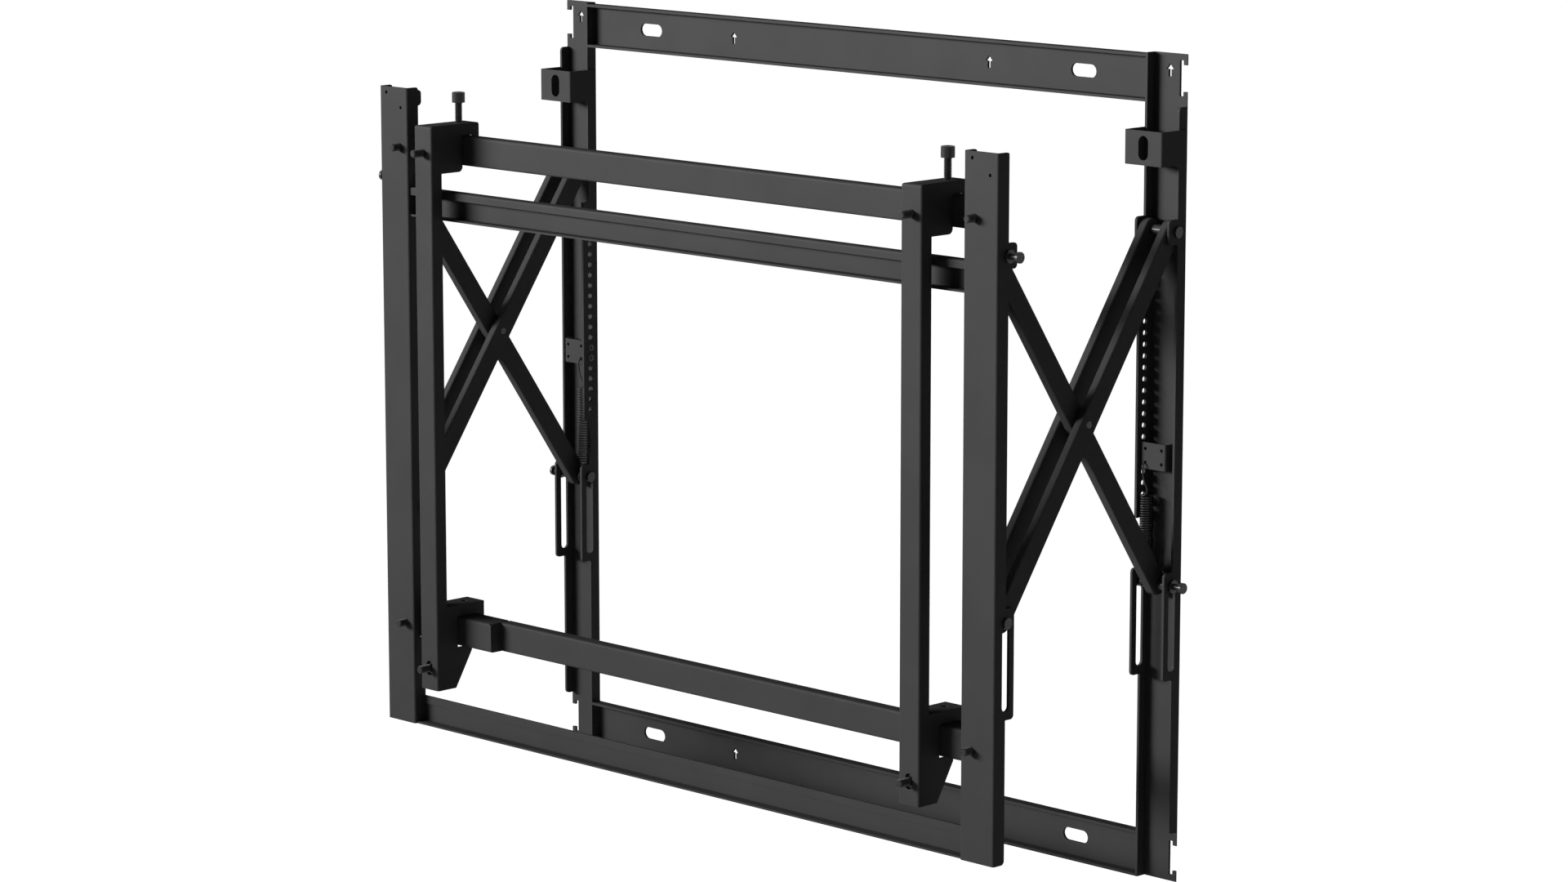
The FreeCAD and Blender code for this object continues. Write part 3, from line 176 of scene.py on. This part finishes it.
def node_tree(material):
    """An emptied node tree with its output and a Principled surface."""
    material.use_nodes = True
    tree = material.node_tree
    tree.nodes.clear()
    output = tree.nodes.new("ShaderNodeOutputMaterial")
    surface = tree.nodes.new("ShaderNodeBsdfPrincipled")
    tree.links.new(surface.outputs["BSDF"], output.inputs["Surface"])
    return tree, surface


def object_noise(tree, size, detail, stretch=(1.0, 1.0, 1.0)):
    """Noise on Object coordinates with features of this size in metres."""
    place = tree.nodes.new("ShaderNodeTexCoord")
    mapping = tree.nodes.new("ShaderNodeMapping")
    mapping.inputs["Scale"].default_value = stretch
    noise = tree.nodes.new("ShaderNodeTexNoise")
    noise.inputs["Scale"].default_value = 1.0 / size
    noise.inputs["Detail"].default_value = detail
    noise.inputs["Roughness"].default_value = 0.55
    tree.links.new(place.outputs["Object"], mapping.inputs["Vector"])
    tree.links.new(mapping.outputs["Vector"], noise.inputs["Vector"])
    return noise


def spread(tree, factor, low, high, socket):
    """Maps a 0 to 1 factor to a range and feeds a socket."""
    ranged = tree.nodes.new("ShaderNodeMapRange")
    ranged.inputs["From Min"].default_value = 0.3
    ranged.inputs["From Max"].default_value = 0.7
    ranged.inputs["To Min"].default_value = low
    ranged.inputs["To Max"].default_value = high
    tree.links.new(factor, ranged.inputs["Value"])
    tree.links.new(ranged.outputs["Result"], socket)


def tint(tree, factor, colour, change, socket):
    """Varies a colour a little with a factor and feeds a socket."""
    ramp = tree.nodes.new("ShaderNodeValToRGB")
    ramp.color_ramp.elements[0].position = 0.32
    ramp.color_ramp.elements[1].position = 0.68
    for element, level in zip(ramp.color_ramp.elements, (1.0 - change, 1.0 + change)):
        element.color = (colour[0] * level, colour[1] * level, colour[2] * level, 1.0)
    tree.links.new(factor, ramp.inputs["Fac"])
    tree.links.new(ramp.outputs["Color"], socket)


def grain(tree, surface, noise, height):
    """Bump from a noise, of this height in metres."""
    bump = tree.nodes.new("ShaderNodeBump")
    bump.inputs["Strength"].default_value = 0.6
    bump.inputs["Distance"].default_value = height
    tree.links.new(noise.outputs["Fac"], bump.inputs["Height"])
    tree.links.new(bump.outputs["Normal"], surface.inputs["Normal"])


def powder_coat(settings):
    """Matt black powder coat: fine orange peel, faint clouds in tone and gloss."""
    material = bpy.data.materials.new("black_powder_coat")
    tree, surface = node_tree(material)
    clouds = object_noise(tree, 0.055, 3.0)
    tint(tree, clouds.outputs["Fac"], settings.powder_colour, 0.05, surface.inputs["Base Color"])
    patches = object_noise(tree, 0.009, 2.0)
    spread(tree, patches.outputs["Fac"], 0.36, 0.42, surface.inputs["Roughness"])
    surface.inputs["Metallic"].default_value = settings.powder_gloss
    surface.inputs["Specular IOR Level"].default_value = 0.0
    surface.inputs["Specular Tint"].default_value = (0.15, 0.15, 0.15, 1.0)
    grain(tree, surface, object_noise(tree, settings.powder_grain, 3.0), settings.powder_bump)
    return material


def blackened_steel(name, colour, roughness, metallic, streaks):
    """Blackened steel with fine turning marks."""
    material = bpy.data.materials.new(name)
    tree, surface = node_tree(material)
    marks = object_noise(tree, 0.0016, 2.0, streaks)
    tint(tree, marks.outputs["Fac"], colour, 0.18, surface.inputs["Base Color"])
    spread(tree, marks.outputs["Fac"], roughness - 0.04, roughness + 0.05,
           surface.inputs["Roughness"])
    surface.inputs["Metallic"].default_value = metallic
    surface.inputs["Specular IOR Level"].default_value = 0.15
    grain(tree, surface, marks, 0.00002)
    return material


def glide_plastic(settings):
    """Dull black plastic of the glide pads."""
    material = bpy.data.materials.new("glide_plastic")
    tree, surface = node_tree(material)
    mottle = object_noise(tree, 0.002, 2.0)
    tint(tree, mottle.outputs["Fac"], settings.pad_colour, 0.06, surface.inputs["Base Color"])
    spread(tree, mottle.outputs["Fac"], 0.55, 0.62, surface.inputs["Roughness"])
    surface.inputs["Specular IOR Level"].default_value = 0.3
    grain(tree, surface, mottle, 0.00002)
    return material


class MOUNT_OT_coats(bpy.types.Operator):
    """Give every steel piece its coat"""

    bl_idname = "wall_mount.coats"
    bl_label = "Coats and Metals"

    def execute(self, context):
        settings = context.scene.mount_coats
        along_x = (0.15, 1.0, 1.0)
        along_y = (1.0, 0.3, 1.0)
        even = (1.0, 1.0, 1.0)
        finishes = {
            "powder_coat": powder_coat(settings),
            "pin_steel": blackened_steel("blackened_pins", settings.pin_colour, 0.30, 0.35,
                                         along_x),
            "screw_steel": blackened_steel("blackened_screws", settings.screw_colour, 0.36, 0.5,
                                           along_y),
            "spring_steel": blackened_steel("spring_wire", settings.spring_colour, 0.34, 0.5,
                                            even),
            "pad_plastic": glide_plastic(settings),
        }
        slots = {entry["node"]: entry["material_slot"] for entry in frame["record"]["subparts"]}
        for name, node in frame["nodes"].items():
            node.data.materials.clear()
            node.data.materials.append(finishes[slots[name]])
        return {"FINISHED"}


def shaft(bm, radius, length, tip_chamfer=0.0):
    """A capped round bar up from the origin, with an optional chamfer at its top."""
    ring = bmesh.ops.create_circle(bm, cap_ends=True, segments=TURN_STEPS * 2, radius=radius)
    face = ring["verts"][0].link_faces[0]
    grown = bmesh.ops.extrude_face_region(bm, geom=[face])
    top = [v for v in grown["geom"] if isinstance(v, bmesh.types.BMVert)]
    bmesh.ops.translate(bm, verts=top, vec=(0, 0, length))
    if tip_chamfer:
        rim = [e for e in bm.edges if all(v in top for v in e.verts)]
        bmesh.ops.bevel(bm, geom=rim, offset=tip_chamfer, offset_type="OFFSET", segments=1,
                        profile=0.5, affect="EDGES", material=-1)


def thread(bm, settings, radius, low, high):
    """A threaded length along Z that reaches past both ends: one tooth turned up the axis."""
    pitch = settings.pitch
    root = radius - settings.depth
    turns = math.ceil((high - low) / pitch) + 1
    tooth = ((root, 0.0), (root, 0.12), (radius, 0.44), (radius, 0.56), (root, 0.88), (root, 1.0))
    start = low - pitch / 2
    corners = [bm.verts.new((r, 0, start + pitch * share)) for r, share in tooth]
    edges = [bm.edges.new(pair) for pair in zip(corners, corners[1:])]
    bmesh.ops.spin(bm, geom=corners + edges, cent=(0, 0, 0), axis=(0, 0, 1),
                   dvec=(0, 0, pitch / TURN_STEPS), angle=math.tau * turns,
                   steps=TURN_STEPS * turns, use_merge=False, use_duplicate=False)
    bmesh.ops.remove_doubles(bm, verts=bm.verts, dist=pitch * 0.01)


def cut_square(bm, low, high):
    """Cuts a mesh off below and above, and closes the cuts."""
    for height, normal in ((low, (0, 0, -1)), (high, (0, 0, 1))):
        geometry = bm.verts[:] + bm.edges[:] + bm.faces[:]
        cut = bmesh.ops.bisect_plane(bm, geom=geometry, dist=1e-7, plane_co=(0, 0, height),
                                     plane_no=normal, clear_outer=True)
        rim = [e for e in cut["geom_cut"] if isinstance(e, bmesh.types.BMEdge)]
        bmesh.ops.holes_fill(bm, edges=rim, sides=0)


def threaded_bar(settings, radius, length):
    """A threaded bar up from the origin whose tip has a chamfer."""
    bm = bmesh.new()
    thread(bm, settings, radius, 0.0, length)
    cut_square(bm, 0.0, length - settings.chamfer)
    bmesh.ops.create_cone(bm, cap_ends=True, segments=TURN_STEPS * 2,
                          radius1=radius - settings.depth * 0.35,
                          radius2=radius - settings.chamfer, depth=settings.chamfer,
                          matrix=Matrix.Translation((0, 0, length - settings.chamfer / 2)))
    return bm


def join(target, source, place):
    """Moves one bmesh to its place and adds it to another."""
    bmesh.ops.transform(source, matrix=place, verts=source.verts)
    scratch = bpy.data.meshes.new("scratch")
    source.to_mesh(scratch)
    source.free()
    target.from_mesh(scratch)
    bpy.data.meshes.remove(scratch)


def finished(name, bm, material):
    """Makes an object of a bmesh, with its normals pointing outwards."""
    bmesh.ops.recalc_face_normals(bm, faces=bm.faces)
    mesh = bpy.data.meshes.new(name)
    bm.to_mesh(mesh)
    bm.free()
    piece = bpy.data.objects.new(name, mesh)
    bpy.context.scene.collection.objects.link(piece)
    piece.data.materials.append(bpy.data.materials[material])
    for polygon in mesh.polygons:
        polygon.use_smooth = True
    edges_by_angle(mesh, SHARP_TURN)
    return piece


def edges_by_angle(mesh, limit):
    """Marks the edges that turn more than a limit as sharp."""
    bm = bmesh.new()
    bm.from_mesh(mesh)
    for edge in bm.edges:
        edge.smooth = not (edge.is_manifold and edge.calc_face_angle(0.0) > limit)
    bm.to_mesh(mesh)
    bm.free()


def forward(x, y, z):
    """Place for a bar drawn along Z that is to point to the front."""
    turn = Matrix.Rotation(math.pi / 2, 4, "X")
    return Matrix.Translation((x, y, z)) @ turn


def stud_group(name, node, places, seat, tip, length, head, head_radius):
    """Bolts along Y: chamfered head behind the seat, plain neck, threaded end in front."""
    settings = bpy.context.scene.mount_threads
    group = bmesh.new()
    for x, z in places:
        bar = threaded_bar(settings, SCREW_RADIUS, length)
        join(group, bar, forward(x, tip + length, z))
        neck = bmesh.new()
        shaft(neck, NECK_RADIUS, seat - tip - length)
        join(group, neck, forward(x, seat, z))
        cap = bmesh.new()
        shaft(cap, head_radius, head, settings.chamfer * 0.6)
        over = Matrix.Translation((0, 0, head)) @ Matrix.Rotation(math.pi, 4, "X")
        join(group, cap, forward(x, seat + head, z) @ over)
    piece = finished(name, group, "blackened_screws")
    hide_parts(node)
    return piece


class MOUNT_OT_display_studs(bpy.types.Operator):
    """Thread the studs that the display hangs on"""

    bl_idname = "wall_mount.display_studs"
    bl_label = "Display Studs"

    def execute(self, context):
        for side in SIDES:
            node = f"display_studs_{side}"
            low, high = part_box(node)
            x = (low.x + high.x) / 2
            head_radius = (high.x - low.x) / 2
            places = ((x, low.z + STUD_HEAD_RADIUS), (x, high.z - STUD_HEAD_RADIUS))
            piece = stud_group(f"threaded_display_studs_{side}", node, places,
                               high.y - STUD_HEAD, low.y, STUD_THREAD, STUD_HEAD, head_radius)
            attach(piece, f"{side}_bracket")
        return {"FINISHED"}


class MOUNT_OT_carrier_bolts(bpy.types.Operator):
    """Thread the bolts that hold the carriers"""

    bl_idname = "wall_mount.carrier_bolts"
    bl_label = "Carrier Bolts"

    def execute(self, context):
        node = "carrier_bolts"
        low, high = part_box(node)
        places = [(x, z) for x in (low.x + STUD_HEAD_RADIUS, high.x - STUD_HEAD_RADIUS)
                  for z in (low.z + STUD_HEAD_RADIUS, high.z - STUD_HEAD_RADIUS)]
        piece = stud_group("threaded_carrier_bolts", node, places, high.y - BOLT_HEAD, low.y,
                           BOLT_THREAD, BOLT_HEAD, STUD_HEAD_RADIUS)
        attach(piece, "front_frame")
        return {"FINISHED"}


class MOUNT_OT_height_screws(bpy.types.Operator):
    """Thread the height screws and give them a hexagon socket"""

    bl_idname = "wall_mount.height_screws"
    bl_label = "Height Screws"

    def execute(self, context):
        settings = context.scene.mount_threads
        for side in SIDES:
            node = f"height_screw_{side}"
            low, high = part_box(node)
            middle = (low + high) / 2
            head_radius = (high.x - low.x) / 2
            under = high.z - HEIGHT_SCREW_HEAD
            screw = bmesh.new()
            bar = threaded_bar(settings, SCREW_RADIUS, under - low.z)
            flip = Matrix.Rotation(math.pi, 4, "X")
            join(screw, bar, Matrix.Translation((middle.x, middle.y, under)) @ flip)
            cap = socket_head(head_radius, HEIGHT_SCREW_HEAD, settings.chamfer)
            join(screw, cap, Matrix.Translation((middle.x, middle.y, under)))
            piece = finished(f"socket_height_screw_{side}", screw, "blackened_screws")
            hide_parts(node)
            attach(piece, f"{side}_height_screw")
        return {"FINISHED"}


def socket_head(radius, height, chamfer):
    """Cylinder head with a chamfered rim and a hexagon socket."""
    bm = bmesh.new()
    shaft(bm, radius, height, chamfer * 0.7)
    top = max(bm.faces, key=lambda f: f.calc_center_median().z)
    bmesh.ops.delete(bm, geom=[top], context="FACES_ONLY")
    rim = [e for e in bm.edges if e.is_boundary]
    hexagon = bmesh.ops.create_circle(bm, cap_ends=False, segments=6, radius=SOCKET_RADIUS,
                                      matrix=Matrix.Translation((0, 0, height)))
    inner = list({e for v in hexagon["verts"] for e in v.link_edges})
    bmesh.ops.bridge_loops(bm, edges=rim + inner)
    walls = bmesh.ops.extrude_edge_only(bm, edges=inner)
    floor = [v for v in walls["geom"] if isinstance(v, bmesh.types.BMVert)]
    bmesh.ops.translate(bm, verts=floor, vec=(0, 0, -height / 2))
    ends = [e for e in walls["geom"] if isinstance(e, bmesh.types.BMEdge)
            and all(v in floor for v in e.verts)]
    bmesh.ops.holes_fill(bm, edges=ends, sides=0)
    return bm


class MOUNT_OT_anchor_screws(bpy.types.Operator):
    """Give the anchor screws their domed heads with a cross recess"""

    bl_idname = "wall_mount.anchor_screws"
    bl_label = "Anchor Screws"

    def execute(self, context):
        node = "spring_anchor_screws"
        screws = frame["nodes"][node]
        settings = context.scene.mount_threads
        group = bmesh.new()
        for low, high in islands(screws.data):
            centre = (low + high) / 2
            outward = -1 if centre.x > 0 else 1
            seat = low.x if outward < 0 else high.x
            under = seat - outward * ANCHOR_SCREW_HEAD
            place = Matrix.Translation((under, centre.y, centre.z))
            quarter = outward * math.pi / 2
            cap = pan_head((high.y - low.y) / 2, ANCHOR_SCREW_HEAD)
            join(group, cap, place @ Matrix.Rotation(quarter, 4, "Y"))
            bar = threaded_bar(settings, ANCHOR_SCREW_RADIUS, high.x - low.x - ANCHOR_SCREW_HEAD)
            join(group, bar, place @ Matrix.Rotation(-quarter, 4, "Y"))
        piece = finished("pan_anchor_screws", group, "blackened_screws")
        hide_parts(node)
        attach(piece, "wall_frame")
        return {"FINISHED"}


def islands(mesh):
    """Lowest and highest corners of each separate piece of a mesh."""
    bm = bmesh.new()
    bm.from_mesh(mesh)
    bmesh.ops.remove_doubles(bm, verts=bm.verts, dist=1e-6)
    left = set(bm.verts)
    boxes = []
    while left:
        seen = {left.pop()}
        edge = list(seen)
        while edge:
            vert = edge.pop()
            for link in vert.link_edges:
                other = link.other_vert(vert)
                if other not in seen:
                    seen.add(other)
                    edge.append(other)
        left -= seen
        low = Vector(min(v.co[i] for v in seen) for i in range(3))
        high = Vector(max(v.co[i] for v in seen) for i in range(3))
        boxes.append((low, high))
    bm.free()
    return boxes


def pan_head(radius, height):
    """Low domed head with a cross recess, along Z."""
    bm = bmesh.new()
    bmesh.ops.create_uvsphere(bm, u_segments=24, v_segments=12, radius=1.0)
    geometry = bm.verts[:] + bm.edges[:] + bm.faces[:]
    bmesh.ops.bisect_plane(bm, geom=geometry, dist=1e-6, plane_co=(0, 0, 0), plane_no=(0, 0, -1),
                           clear_outer=True)
    rim = [e for e in bm.edges if e.is_boundary]
    bmesh.ops.holes_fill(bm, edges=rim, sides=0)
    bmesh.ops.scale(bm, vec=(radius, radius, height), verts=bm.verts)
    middle = [f for f in bm.faces if f.calc_center_median().z > height * 0.8]
    arms = [f for f in middle if abs(f.calc_center_median().x) < radius * 0.12
            or abs(f.calc_center_median().y) < radius * 0.12]
    sunk = bmesh.ops.extrude_face_region(bm, geom=arms)
    bmesh.ops.delete(bm, geom=arms, context="FACES_ONLY")
    verts = [v for v in sunk["geom"] if isinstance(v, bmesh.types.BMVert)]
    bmesh.ops.translate(bm, verts=verts, vec=(0, 0, -height * 0.45))
    return bm


def seen_directly(tree):
    """1 for the rays with which the camera, shiny and clear things see the background."""
    rays = tree.nodes.new("ShaderNodeLightPath")
    seen = rays.outputs["Is Camera Ray"]
    for kind in ("Is Glossy Ray", "Is Transmission Ray"):
        either = tree.nodes.new("ShaderNodeMath")
        either.operation = "MAXIMUM"
        tree.links.new(seen, either.inputs[0])
        tree.links.new(rays.outputs[kind], either.inputs[1])
        seen = either.outputs["Value"]
    return seen


class MOUNT_OT_studio(bpy.types.Operator):
    """Set up the floor, lamps and camera"""

    bl_idname = "wall_mount.studio"
    bl_label = "Studio"

    def execute(self, context):
        settings = context.scene.mount_studio
        scene = context.scene
        scene.view_settings.view_transform = "Standard"
        camera_data = bpy.data.cameras.new("camera")
        camera_data.lens = settings.lens
        camera_data.sensor_width = 36.0
        camera_data.clip_end = 50.0
        camera = bpy.data.objects.new("camera", camera_data)
        scene.collection.objects.link(camera)
        camera.location = CAMERA_PLACE
        camera.rotation_euler = (math.pi / 2 - CAMERA_DROP, 0.0, CAMERA_TURN)
        scene.camera = camera
        self.floor(settings)
        key = self.lamp("key_lamp", KEY_PLACE, KEY_TARGET, KEY_WIDTH, settings.key_power)
        key.data.shape = "RECTANGLE"
        key.data.size_y = settings.key_height
        key.data.spread = settings.key_spread
        self.lamp("fill_lamp", FILL_PLACE, MOUNT_MIDDLE, FILL_WIDTH, settings.fill_power)
        self.lamp("edge_lamp", EDGE_PLACE, MOUNT_MIDDLE, EDGE_WIDTH, settings.edge_power)
        self.room(scene, settings)
        return {"FINISHED"}

    def floor(self, settings):
        """White floor that keeps the shadow of the mount."""
        bm = bmesh.new()
        height = -(FOOT_DEPTH + settings.floor_drop)
        bmesh.ops.create_grid(bm, x_segments=1, y_segments=1, size=FLOOR_REACH,
                              matrix=Matrix.Translation((0, 0, height)))
        mesh = bpy.data.meshes.new("studio_floor")
        bm.to_mesh(mesh)
        bm.free()
        floor = bpy.data.objects.new("studio_floor", mesh)
        bpy.context.scene.collection.objects.link(floor)
        material = bpy.data.materials.new("studio_floor")
        tree, surface = node_tree(material)
        surface.inputs["Base Color"].default_value = settings.floor_colour
        surface.inputs["Roughness"].default_value = 0.9
        surface.inputs["Emission Color"].default_value = WHITE
        glow = tree.nodes.new("ShaderNodeMath")
        glow.operation = "MULTIPLY"
        tree.links.new(seen_directly(tree), glow.inputs[0])
        glow.inputs[1].default_value = settings.floor_glow
        tree.links.new(glow.outputs["Value"], surface.inputs["Emission Strength"])
        mesh.materials.append(material)

    def lamp(self, name, place, target, size, power):
        """Area lamp at a place, aimed at a target."""
        data = bpy.data.lights.new(name, "AREA")
        data.shape = "SQUARE"
        data.size = size
        data.energy = power
        lamp = bpy.data.objects.new(name, data)
        bpy.context.scene.collection.objects.link(lamp)
        lamp.location = place
        aim = Vector(target) - lamp.location
        lamp.rotation_euler = aim.to_track_quat("-Z", "Y").to_euler()
        return lamp

    def room(self, scene, settings):
        """White background whose light on the mount has a level of its own."""
        world = bpy.data.worlds.new("studio_room")
        scene.world = world
        world.use_nodes = True
        tree = world.node_tree
        tree.nodes.clear()
        output = tree.nodes.new("ShaderNodeOutputWorld")
        mix = tree.nodes.new("ShaderNodeMixShader")
        dim = tree.nodes.new("ShaderNodeBackground")
        dim.inputs["Color"].default_value = WHITE
        dim.inputs["Strength"].default_value = settings.room_level
        white = tree.nodes.new("ShaderNodeBackground")
        white.inputs["Color"].default_value = WHITE
        white.inputs["Strength"].default_value = 1.0
        tree.links.new(seen_directly(tree), mix.inputs["Fac"])
        tree.links.new(dim.outputs["Background"], mix.inputs[1])
        tree.links.new(white.outputs["Background"], mix.inputs[2])
        tree.links.new(mix.outputs["Shader"], output.inputs["Surface"])


class MOUNT_PT_panel(bpy.types.Panel):
    """Wall mount looks"""

    bl_idname = "MOUNT_PT_panel"
    bl_label = "Wall Mount"
    bl_space_type = "VIEW_3D"
    bl_region_type = "UI"
    bl_category = "Wall Mount"

    def draw(self, context):
        layout = self.layout
        for settings in ("mount_coats", "mount_threads", "mount_studio"):
            box = layout.box()
            group = getattr(context.scene, settings)
            for name in group.__annotations__:
                box.prop(group, name)
        for operator in OPERATORS:
            layout.operator(operator.bl_idname)


OPERATORS = (
    MOUNT_OT_studio,
    MOUNT_OT_coats,
    MOUNT_OT_display_studs,
    MOUNT_OT_carrier_bolts,
    MOUNT_OT_height_screws,
    MOUNT_OT_anchor_screws,
)
SETTINGS = {
    "mount_coats": CoatSettings,
    "mount_threads": ThreadSettings,
    "mount_studio": StudioSettings,
}


def register():
    for name, group in SETTINGS.items():
        bpy.utils.register_class(group)
        setattr(bpy.types.Scene, name, PointerProperty(type=group))
    for operator in OPERATORS:
        bpy.utils.register_class(operator)
    bpy.utils.register_class(MOUNT_PT_panel)


def unregister():
    bpy.utils.unregister_class(MOUNT_PT_panel)
    for operator in reversed(OPERATORS):
        bpy.utils.unregister_class(operator)
    for name, group in SETTINGS.items():
        delattr(bpy.types.Scene, name)
        bpy.utils.unregister_class(group)


def main():
    register()
    for operator in OPERATORS:
        category, action = operator.bl_idname.split(".")
        getattr(getattr(bpy.ops, category), action)()


if __name__ == "__main__":
    main()
